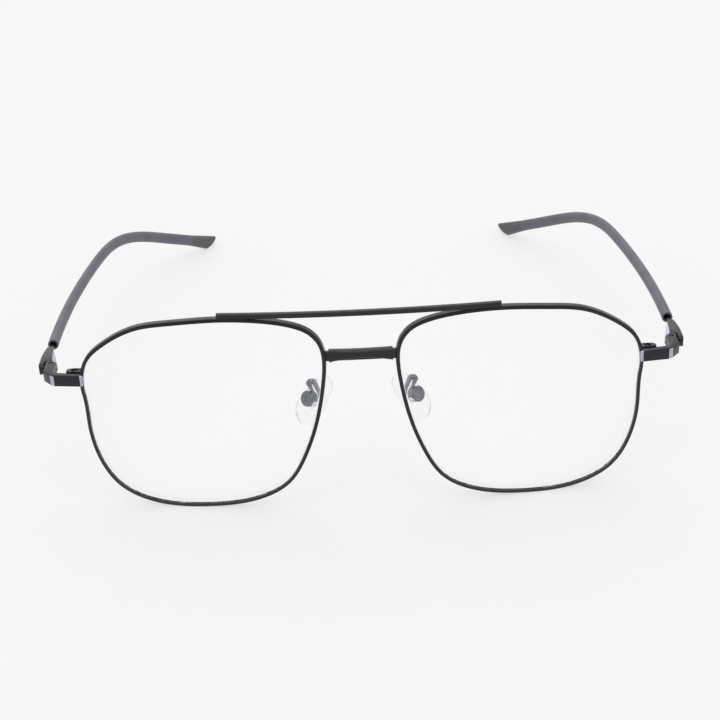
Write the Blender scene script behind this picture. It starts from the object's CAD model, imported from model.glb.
import bmesh
import bpy
from math import cos, radians, sin
from mathutils import Matrix, Vector


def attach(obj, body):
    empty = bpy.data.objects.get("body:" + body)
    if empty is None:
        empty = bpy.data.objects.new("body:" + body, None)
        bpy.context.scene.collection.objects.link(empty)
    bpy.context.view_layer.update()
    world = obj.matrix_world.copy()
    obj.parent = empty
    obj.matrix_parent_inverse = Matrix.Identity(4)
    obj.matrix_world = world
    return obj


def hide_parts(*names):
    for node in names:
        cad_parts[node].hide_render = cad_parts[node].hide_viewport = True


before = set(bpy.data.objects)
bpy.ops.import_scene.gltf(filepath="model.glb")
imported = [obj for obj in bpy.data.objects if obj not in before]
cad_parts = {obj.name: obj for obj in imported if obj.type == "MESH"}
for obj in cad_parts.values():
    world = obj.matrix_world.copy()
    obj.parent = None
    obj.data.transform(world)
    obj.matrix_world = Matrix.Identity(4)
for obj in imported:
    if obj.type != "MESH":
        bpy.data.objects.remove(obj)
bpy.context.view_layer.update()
sides = {"left": 1, "right": -1}

# Rims: nickel-alloy eyewire with a groove for the lens, bent to the lens curve and closed by a lock.
# They are plated black with a half-gloss lacquer, which is rubbed a little paler along its edges.
merge_distance = 1e-6
flat_angle = 1
curve_angle = 40
corner_segments = 2


def finished_copy(node, body, corner=0.0, smooth=curve_angle):
    """A copy of a node's mesh in its place, with doubles merged, corners rounded and curves smoothed."""
    piece = bpy.data.objects.new(node + "_finished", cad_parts[node].data.copy())
    bpy.context.scene.collection.objects.link(piece)
    bpy.ops.object.select_all(action="DESELECT")
    piece.select_set(True)
    bpy.context.view_layer.objects.active = piece
    bpy.ops.mesh.customdata_custom_splitnormals_clear()
    bpy.ops.object.mode_set(mode="EDIT")
    bpy.ops.mesh.select_all(action="SELECT")
    bpy.ops.mesh.remove_doubles(threshold=merge_distance)
    if corner:
        bpy.ops.mesh.dissolve_limited(angle_limit=radians(flat_angle))
    bpy.ops.object.mode_set(mode="OBJECT")
    if corner:
        rounding = piece.modifiers.new("rounded corners", "BEVEL")
        rounding.width = corner
        rounding.segments = corner_segments
        rounding.limit_method = "ANGLE"
        rounding.angle_limit = radians(smooth)
        rounding.use_clamp_overlap = True
        bpy.ops.object.modifier_apply(modifier=rounding.name)
    bpy.ops.object.shade_smooth_by_angle(angle=radians(smooth))
    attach(piece, body)
    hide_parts(node)
    return piece


def new_material(name, surface):
    """A material with one Principled shader whose plain sockets are set by name."""
    material = bpy.data.materials.new(name)
    material.use_nodes = True
    shader = material.node_tree.nodes["Principled BSDF"]
    for socket, value in surface.items():
        shader.inputs[socket].default_value = value
    return material, shader


def add_node(tree, kind, values):
    """A new node in a tree, with some of its sockets set by name."""
    node = tree.nodes.new(kind)
    for socket, value in values.items():
        node.inputs[socket].default_value = value
    return node


def add_group(material, group, values):
    """A group node in a material, fed with Object coordinates and its own values."""
    tree = material.node_tree
    node = tree.nodes.new("ShaderNodeGroup")
    node.node_tree = group
    place = tree.nodes.new("ShaderNodeTexCoord")
    tree.links.new(place.outputs["Object"], node.inputs["Place"])
    for socket, value in values.items():
        node.inputs[socket].default_value = value
    return node


def give(piece, material):
    """Make a material the only one of a piece."""
    piece.data.materials.clear()
    piece.data.materials.append(material)


# The surface group mixes a colour with a paler rubbed one along the edges, and adds mottling and a grain.
surface_group = bpy.data.node_groups.new("handled surface", "ShaderNodeTree")
sockets = surface_group.interface
for label, kind in (("Place", "Vector"), ("Colour", "Color"), ("Rubbed colour", "Color"), ("Rub", "Float"),
                    ("Mottle scale", "Float"), ("Grain scale", "Float"), ("Grain depth", "Float"),
                    ("Least roughness", "Float"), ("Most roughness", "Float")):
    sockets.new_socket(label, in_out="INPUT", socket_type="NodeSocket" + kind)
for label, kind in (("Colour", "Color"), ("Roughness", "Float"), ("Normal", "Vector")):
    sockets.new_socket(label, in_out="OUTPUT", socket_type="NodeSocket" + kind)
links = surface_group.links
given = surface_group.nodes.new("NodeGroupInput")
result = surface_group.nodes.new("NodeGroupOutput")

mottle = add_node(surface_group, "ShaderNodeTexNoise", {"Detail": 4})
links.new(given.outputs["Place"], mottle.inputs["Vector"])
links.new(given.outputs["Mottle scale"], mottle.inputs["Scale"])
shape = surface_group.nodes.new("ShaderNodeNewGeometry")
edge = add_node(surface_group, "ShaderNodeMapRange", {"From Min": 0.52, "From Max": 0.62})
links.new(shape.outputs["Pointiness"], edge.inputs["Value"])
broken_edge = surface_group.nodes.new("ShaderNodeMath")
broken_edge.operation = "MULTIPLY"
links.new(edge.outputs["Result"], broken_edge.inputs[0])
links.new(mottle.outputs["Fac"], broken_edge.inputs[1])
rub = surface_group.nodes.new("ShaderNodeMath")
rub.operation = "MULTIPLY"
links.new(broken_edge.outputs["Value"], rub.inputs[0])
links.new(given.outputs["Rub"], rub.inputs[1])
colour = surface_group.nodes.new("ShaderNodeMix")
colour.data_type = "RGBA"
links.new(rub.outputs["Value"], colour.inputs["Factor"])
links.new(given.outputs["Colour"], colour.inputs["A"])
links.new(given.outputs["Rubbed colour"], colour.inputs["B"])
links.new(colour.outputs["Result"], result.inputs["Colour"])

roughness = add_node(surface_group, "ShaderNodeMapRange", {"From Min": 0.3, "From Max": 0.7})
links.new(mottle.outputs["Fac"], roughness.inputs["Value"])
links.new(given.outputs["Least roughness"], roughness.inputs["To Min"])
links.new(given.outputs["Most roughness"], roughness.inputs["To Max"])
links.new(roughness.outputs["Result"], result.inputs["Roughness"])

grain = add_node(surface_group, "ShaderNodeTexNoise", {"Detail": 2})
links.new(given.outputs["Place"], grain.inputs["Vector"])
links.new(given.outputs["Grain scale"], grain.inputs["Scale"])
relief = add_node(surface_group, "ShaderNodeBump", {"Distance": 0.00002})
links.new(given.outputs["Grain depth"], relief.inputs["Strength"])
links.new(grain.outputs["Fac"], relief.inputs["Height"])
links.new(relief.outputs["Normal"], result.inputs["Normal"])


def handled(name, surface, look):
    """A material whose colour, roughness and grain come from the surface group."""
    material, shader = new_material(name, surface)
    group = add_group(material, surface_group, look)
    links = material.node_tree.links
    links.new(group.outputs["Colour"], shader.inputs["Base Color"])
    links.new(group.outputs["Roughness"], shader.inputs["Roughness"])
    links.new(group.outputs["Normal"], shader.inputs["Normal"])
    return material


black_lacquer = handled("black lacquer", {
    "Metallic": 0.0, "IOR": 1.46, "Specular Tint": (0.93, 0.91, 1.0, 1)}, {
    "Colour": (0.0045, 0.0045, 0.005, 1), "Rubbed colour": (0.04, 0.04, 0.045, 1), "Rub": 0.6,
    "Mottle scale": 400, "Grain scale": 5000, "Grain depth": 0.25,
    "Least roughness": 0.23, "Most roughness": 0.33})
for side in sides:
    give(finished_copy(side + "_rim", "front"), black_lacquer)

# Lenses: clear plastic ground to the rim's outline, with a tongue round the edge that snaps into the groove.
# Both faces are curved alike, so they bend no light, and a coating against reflections tints their shine.
# Each face is laid out in rings on its exact curve, with a small bevel round it.
lens_tint = (0.996, 0.998, 1.0, 1)
lens_curve, lens_wrap = 0.126, radians(5)
lens_middle = Vector((0.03585, -0.0752713, 0.0245994))
lens_front, lens_back = 0.00045, 0.00085
lens_half_width = 0.0271
lens_rings = 12
lens_bevel = 0.00015
curve_limit = 2e-6


def ray_share(tree, kinds):
    """A number that is 1 for the named kinds of ray and 0 for all others."""
    path = tree.nodes.new("ShaderNodeLightPath")
    share = path.outputs[kinds[0]]
    for kind in kinds[1:]:
        either = tree.nodes.new("ShaderNodeMath")
        either.operation = "MAXIMUM"
        tree.links.new(share, either.inputs[0])
        tree.links.new(path.outputs[kind], either.inputs[1])
        share = either.outputs["Value"]
    return share


def mix_to_output(tree, share, first, second, output):
    """Mix a share of a second shader into a first one, and lead the mix to the tree's output."""
    mix = tree.nodes.new("ShaderNodeMixShader")
    tree.links.new(share, mix.inputs["Fac"])
    tree.links.new(first, mix.inputs[1])
    tree.links.new(second, mix.inputs[2])
    tree.links.new(mix.outputs["Shader"], tree.nodes[output].inputs["Surface"])


def let_lamps_through(material, shader, tint):
    """Lamps shine through clear pieces, so their shadows stay as faint as real ones."""
    tree = material.node_tree
    clear = add_node(tree, "ShaderNodeBsdfTransparent", {"Color": tint})
    share = ray_share(tree, ["Is Shadow Ray"])
    mix_to_output(tree, share, shader.outputs["BSDF"], clear.outputs["BSDF"], "Material Output")


def lay_on_sphere(lens, curve_centre, radius):
    """Move the selected points straight to a radius from the centre of the lens's curve."""
    for v in bmesh.from_edit_mesh(lens.data).verts:
        if v.select:
            v.co = curve_centre + (v.co - curve_centre).normalized() * radius


def lay_in_rings(lens, middle, curve_centre, radius):
    """Replace one face of a lens by a bevel and by rings that lie on its exact curve."""
    bpy.ops.object.mode_set(mode="EDIT")
    mesh = bmesh.from_edit_mesh(lens.data)
    on_curve = {v for v in mesh.verts if abs((v.co - curve_centre).length - radius) < curve_limit}
    bpy.ops.mesh.select_mode(type="FACE")
    for face in mesh.faces:
        face.select_set(all(v in on_curve for v in face.verts))
    bpy.ops.mesh.delete(type="FACE")
    bpy.ops.mesh.select_mode(type="EDGE")
    for border in mesh.edges:
        border.select_set(border.is_boundary)
    bevelled = radius - lens_bevel if radius > lens_curve else radius + lens_bevel
    lay_on_sphere(lens, curve_centre, bevelled)
    bpy.ops.mesh.extrude_region_move()
    bpy.ops.transform.resize(value=[1 - lens_bevel / lens_half_width] * 3, center_override=middle)
    lay_on_sphere(lens, curve_centre, radius)
    for ring in range(lens_rings - 1, -1, -1):
        bpy.ops.mesh.extrude_region_move()
        if ring:
            bpy.ops.transform.resize(value=[ring / (ring + 1)] * 3, center_override=middle)
        else:
            bpy.ops.mesh.merge(type="CENTER")
        lay_on_sphere(lens, curve_centre, radius)
        bmesh.update_edit_mesh(lens.data)
    bpy.ops.mesh.select_all(action="SELECT")
    bpy.ops.mesh.normals_make_consistent(inside=False)
    bpy.ops.object.mode_set(mode="OBJECT")


def shade_as_spheres(lens, curve_centre):
    """Shade both faces of a lens as true spheres, so that nothing seen through it looks wavy."""
    normals = [Vector()] * len(lens.data.loops)
    for face in lens.data.polygons:
        rays = [lens.data.vertices[index].co - curve_centre for index in face.vertices]
        for radius, facing in ((lens_curve + lens_front, 1), (lens_curve - lens_back, -1)):
            if all(abs(ray.length - radius) < curve_limit for ray in rays):
                for loop, ray in zip(face.loop_indices, rays):
                    normals[loop] = ray.normalized() * facing
    lens.data.normals_split_custom_set(normals)


lens_plastic, lens_shader = new_material("coated lens", {
    "Base Color": lens_tint, "Transmission Weight": 1.0, "Roughness": 0.0, "IOR": 1.5,
    "Specular IOR Level": 0.12, "Specular Tint": (0.75, 0.9, 1.0, 1)})
lens_tree = lens_plastic.node_tree
lens_place = lens_tree.nodes.new("ShaderNodeTexCoord")
smudges = add_node(lens_tree, "ShaderNodeTexNoise", {"Scale": 60})
smudge_range = add_node(lens_tree, "ShaderNodeMapRange", {"From Min": 0.55, "From Max": 0.75, "To Max": 0.02})
lens_tree.links.new(lens_place.outputs["Object"], smudges.inputs["Vector"])
lens_tree.links.new(smudges.outputs["Fac"], smudge_range.inputs["Value"])
lens_tree.links.new(smudge_range.outputs["Result"], lens_shader.inputs["Roughness"])
let_lamps_through(lens_plastic, lens_shader, (0.96, 0.96, 0.965, 1))
for side, across in sides.items():
    lens = finished_copy(side + "_lens", "front")
    middle = lens_middle * Vector((across, 1, 1))
    curve_centre = middle + lens_curve * Vector((-across * sin(lens_wrap), cos(lens_wrap), 0))
    for radius in (lens_curve + lens_front, lens_curve - lens_back):
        lay_in_rings(lens, middle, curve_centre, radius)
    bpy.ops.object.shade_smooth_by_angle(angle=radians(curve_angle))
    shade_as_spheres(lens, curve_centre)
    give(lens, lens_plastic)

# Bridge and brow bar: two bars of the same alloy between the rims, soldered to them and plated with them.
# The bridge is waisted between square ends, and the brow bar lies on the rims and bows a little forward.
bar_corner = 0.0001
brow_half_length = 0.0312
brow_bow = 0.0013
brow_cuts = 25


def bow_forward(bar):
    """Cut a long bar into short lengths and bring its middle forward along an even bow."""
    bpy.ops.object.mode_set(mode="EDIT")
    for cut in range(1, brow_cuts):
        cut_at = brow_half_length * (2 * cut / brow_cuts - 1)
        bpy.ops.mesh.select_all(action="SELECT")
        bpy.ops.mesh.bisect(plane_co=(cut_at, 0, 0), plane_no=(1, 0, 0))
    for v in bmesh.from_edit_mesh(bar.data).verts:
        v.co.y -= brow_bow * (1 - (v.co.x / brow_half_length) ** 2)
    bpy.ops.object.mode_set(mode="OBJECT")
    bpy.ops.object.shade_smooth_by_angle(angle=radians(curve_angle))


give(finished_copy("bridge", "front", bar_corner), black_lacquer)
brow_bar = finished_copy("brow_bar", "front", bar_corner)
bow_forward(brow_bar)
give(brow_bar, black_lacquer)

# End pieces and rim locks: a square bar that turns back to the hinge through two corner facets.
# Behind it a block on each cut end of the rim is drawn together by a screw, which lets the lens in.
# The first facet and the lap over the rim are left polished.
block_corner = 0.00008
facet_angle = 16
facet_out, facet_back = 1.0, 0.6
facet_spread = 3
lap_edge, lap_facing = 0.063345, -0.3
polished_nickel = handled("polished black nickel", {"Metallic": 1.0}, {
    "Colour": (0.44, 0.42, 0.5, 1), "Rubbed colour": (0.75, 0.74, 0.81, 1), "Rub": 0.4,
    "Mottle scale": 700, "Grain scale": 6000, "Grain depth": 0.2,
    "Least roughness": 0.16, "Most roughness": 0.28})


def polish(piece, chosen):
    """Give the polished metal to the faces that a test of place and normal picks."""
    piece.data.materials.append(polished_nickel)
    for face in piece.data.polygons:
        if chosen(face.center, face.normal):
            face.material_index = len(piece.data.materials) - 1


for side, across in sides.items():
    for node in ("upper_rim_lock", "lower_rim_lock"):
        give(finished_copy(side + "_" + node, "front", block_corner), black_lacquer)
    end_piece = finished_copy(side + "_end_piece", "front", block_corner, facet_angle)
    bpy.ops.object.mode_set(mode="EDIT")
    bpy.ops.mesh.select_all(action="SELECT")
    bpy.ops.mesh.bisect(plane_co=(across * lap_edge, 0, 0), plane_no=(1, 0, 0))
    bpy.ops.object.mode_set(mode="OBJECT")
    give(end_piece, black_lacquer)
    facet = Vector((across * facet_back, -facet_out, 0)).normalized()
    polish(end_piece, lambda place, normal: normal.dot(facet) > cos(radians(facet_spread))
           or across * place.x < lap_edge and normal.y < lap_facing)

# Small screws: turned steel, slotted. Those of the rim locks and hinges are blackened, and those of the
# pads are left bright.
screw_corner = 0.00005
black_screw = handled("blackened screw", {"Metallic": 1.0}, {
    "Colour": (0.045, 0.045, 0.05, 1), "Rubbed colour": (0.25, 0.25, 0.26, 1), "Rub": 0.8,
    "Mottle scale": 900, "Grain scale": 7000, "Grain depth": 0.4,
    "Least roughness": 0.25, "Most roughness": 0.4})
bright_screw = handled("bright screw", {"Metallic": 1.0}, {
    "Colour": (0.72, 0.72, 0.73, 1), "Rubbed colour": (0.9, 0.9, 0.9, 1), "Rub": 0.5,
    "Mottle scale": 900, "Grain scale": 7000, "Grain depth": 0.3,
    "Least roughness": 0.12, "Most roughness": 0.25})
for side in sides:
    for node in ("hinge_screw", "lock_screw"):
        give(finished_copy(side + "_" + node, "front", screw_corner), black_screw)
    give(finished_copy(side + "_pad_screw", "front", screw_corner), bright_screw)

# Pad arms and boxes: round wire in a swan-neck from the back of each rim to a small cup.
# The cup holds the pad's lug on a screw, so that the pad can rock.
# The arm's top is set a little away from the nose and is pinched thicker where it turns over.
arm_turn, arm_back = 0.0013, -0.0688
arm_swelling = 0.00015
arm_set = Vector((0.0008, 0, -0.0004))
gunmetal = handled("gunmetal plating", {"Metallic": 1.0}, {
    "Colour": (0.165, 0.16, 0.175, 1), "Rubbed colour": (0.4, 0.4, 0.43, 1), "Rub": 0.7,
    "Mottle scale": 900, "Grain scale": 6000, "Grain depth": 0.35,
    "Least roughness": 0.24, "Most roughness": 0.38})
for side, across in sides.items():
    arm = finished_copy(side + "_pad_arm", "front")
    top = max(v.co.z for v in arm.data.vertices)
    bpy.ops.object.mode_set(mode="EDIT")
    bpy.ops.mesh.select_mode(type="VERT")
    for v in bmesh.from_edit_mesh(arm.data).verts:
        v.select_set(v.co.z > top - arm_turn)
    bpy.ops.transform.translate(value=arm_set * Vector((across, 1, 1)))
    for v in bmesh.from_edit_mesh(arm.data).verts:
        v.select_set(v.select and v.co.y > arm_back)
    bpy.ops.transform.shrink_fatten(value=arm_swelling)
    bpy.ops.object.mode_set(mode="OBJECT")
    give(arm, gunmetal)
    give(finished_copy(side + "_pad_box", "front", screw_corner), gunmetal)

# Nose pads: soft clear silicone, moulded round a stiffer clear insert whose lug hangs in the box.
# Handling leaves the silicone faintly hazy.
silicone, silicone_shader = new_material("clear silicone", {
    "Base Color": (0.97, 0.975, 0.985, 1), "Transmission Weight": 1.0, "IOR": 1.2})
haze = add_group(silicone, surface_group, {
    "Mottle scale": 250, "Grain scale": 1500, "Grain depth": 0.05,
    "Least roughness": 0.1, "Most roughness": 0.2})
silicone.node_tree.links.new(haze.outputs["Roughness"], silicone_shader.inputs["Roughness"])
silicone.node_tree.links.new(haze.outputs["Normal"], silicone_shader.inputs["Normal"])
let_lamps_through(silicone, silicone_shader, (0.93, 0.93, 0.94, 1))
for side in sides:
    for node in ("nose_pad", "pad_insert"):
        give(finished_copy(side + "_" + node, side + "_pad"), silicone)

# Temple leaves and core wires: a flat tapered leaf with the middle knuckle of the hinge at its front.
# A wire from its back end shows for a few millimetres before it goes into the sleeve.
# The bevel along the leaf's inner edge is polished, behind the hinge's shoulder.
bevel_facing = Vector((-1, 0.12, 1)).normalized()
bevel_spread = 6
shoulder_y = -0.0627
for side, across in sides.items():
    body = side + "_temple"
    leaf = finished_copy(side + "_temple_leaf", body, block_corner, facet_angle)
    give(leaf, black_lacquer)
    bevel = bevel_facing * Vector((across, 1, 1))
    polish(leaf, lambda place, normal: place.y > shoulder_y
           and normal.dot(bevel) > cos(radians(bevel_spread)))
    give(finished_copy(side + "_core_wire", body), black_lacquer)

# Temple sleeves: satin grey plastic drawn over the wire, round at the mouth and oval towards the ear.
grey_plastic = handled("satin grey plastic", {
    "IOR": 1.47, "Sheen Weight": 0.08, "Sheen Roughness": 0.5}, {
    "Colour": (0.086, 0.085, 0.104, 1), "Rubbed colour": (0.14, 0.14, 0.16, 1), "Rub": 0.5,
    "Mottle scale": 160, "Grain scale": 3500, "Grain depth": 0.5,
    "Least roughness": 0.42, "Most roughness": 0.55})
for side in sides:
    give(finished_copy(side + "_temple_sleeve", side + "_temple"), grey_plastic)

# End caps: harder and darker plastic, moulded with a rounded end and glued on behind the sleeve.
dark_plastic = handled("dark grey plastic", {"IOR": 1.5}, {
    "Colour": (0.05, 0.05, 0.057, 1), "Rubbed colour": (0.09, 0.09, 0.1, 1), "Rub": 0.5,
    "Mottle scale": 200, "Grain scale": 4000, "Grain depth": 0.2,
    "Least roughness": 0.26, "Most roughness": 0.36})
for side in sides:
    give(finished_copy(side + "_end_cap", side + "_temple"), dark_plastic)

# Floor: a wide sheet of white paper, which the photograph shows as an even pale grey.
# For the camera, in reflections and through clear pieces it shines partly in that grey, so its shadows
# stay faint.
floor_colour = (0.925, 0.922, 0.917, 1)
floor_side = 6.0
even_grey = (0.9216, 0.9216, 0.9216, 1)
evenness = 0.65
bpy.ops.object.select_all(action="DESELECT")
bpy.ops.mesh.primitive_plane_add(size=floor_side)
floor = bpy.context.object
floor.name = "floor"
floor_paper, floor_shader = new_material("white paper", {
    "Base Color": floor_colour, "Roughness": 0.9, "Specular IOR Level": 0.0})
give(floor, floor_paper)
floor_tree = floor_paper.node_tree
even_share = floor_tree.nodes.new("ShaderNodeMath")
even_share.operation = "MULTIPLY"
even_share.inputs[1].default_value = evenness
seen = ray_share(floor_tree, ["Is Camera Ray", "Is Glossy Ray", "Is Transmission Ray"])
floor_tree.links.new(seen, even_share.inputs[0])
even_light = add_node(floor_tree, "ShaderNodeEmission", {"Color": even_grey})
mix_to_output(floor_tree, even_share.outputs["Value"], floor_shader.outputs["BSDF"],
              even_light.outputs["Emission"], "Material Output")

# Light: a pale surround that is brighter above and behind than towards the camera, and two very wide soft
# lamps far away, one overhead and one behind. Where the surround itself is seen, also through clear
# pieces, it has the floor's even grey.
bright_side = Vector((0, 0.8, 0.6))
surround = bpy.data.worlds.new("surround")
bpy.context.scene.world = surround
surround.use_nodes = True
sky_tree = surround.node_tree
sky = sky_tree.nodes["Background"]
sky.inputs["Color"].default_value = (0.98, 0.975, 1.0, 1)
direction = sky_tree.nodes.new("ShaderNodeTexCoord")
towards_light = sky_tree.nodes.new("ShaderNodeVectorMath")
towards_light.operation = "DOT_PRODUCT"
towards_light.inputs[1].default_value = bright_side
brightness = add_node(sky_tree, "ShaderNodeMapRange", {
    "From Min": -0.5, "From Max": 0.7, "To Min": 0.4, "To Max": 1.0})
brightness.interpolation_type = "SMOOTHSTEP"
sky_tree.links.new(direction.outputs["Generated"], towards_light.inputs[0])
sky_tree.links.new(towards_light.outputs["Value"], brightness.inputs["Value"])
sky_tree.links.new(brightness.outputs["Result"], sky.inputs["Strength"])
even_sky = add_node(sky_tree, "ShaderNodeBackground", {"Color": even_grey})
seen = ray_share(sky_tree, ["Is Camera Ray", "Is Transmission Ray"])
mix_to_output(sky_tree, seen, sky.outputs["Background"], even_sky.outputs["Background"], "World Output")


def soft_lamp(name, strength, width, seen_from):
    """A lamp far away, as wide as an angle in the sky, shining from a direction."""
    light = bpy.data.lights.new(name, "SUN")
    light.energy = strength
    light.angle = radians(width)
    lamp = bpy.data.objects.new(name, light)
    lamp.rotation_euler = Vector(seen_from).to_track_quat("Z", "Y").to_euler()
    bpy.context.scene.collection.objects.link(lamp)


soft_lamp("overhead lamp", 0.6, 40, (0, -0.48, 0.88))
soft_lamp("lamp behind", 0.28, 50, (-0.2, 1, 0.7))

# Camera: from in front and above, as the photograph was taken, and tipped a little, so that the glasses
# are higher at the right of the picture. Its three angles are in radians.
aim = Vector((-0.000303, -0.055271, 0.027169))
distance = 0.38
around, above, turned = 0.0046, 0.4993, -0.0468
backwards = Vector((sin(around) * cos(above), -cos(around) * cos(above), sin(above)))
level_right = Vector((0, 0, 1)).cross(backwards).normalized()
level_up = backwards.cross(level_right)
right = cos(turned) * level_right + sin(turned) * level_up
up = cos(turned) * level_up - sin(turned) * level_right
camera_data = bpy.data.cameras.new("camera")
camera_data.sensor_width = 36
camera_data.lens = 80.96
camera_data.clip_start = 0.01
camera = bpy.data.objects.new("camera", camera_data)
bpy.context.scene.collection.objects.link(camera)
facing = Matrix((right, up, backwards)).transposed().to_4x4()
camera.matrix_world = Matrix.Translation(aim + backwards * distance) @ facing
bpy.context.scene.camera = camera
bpy.context.scene.view_settings.view_transform = "Standard"
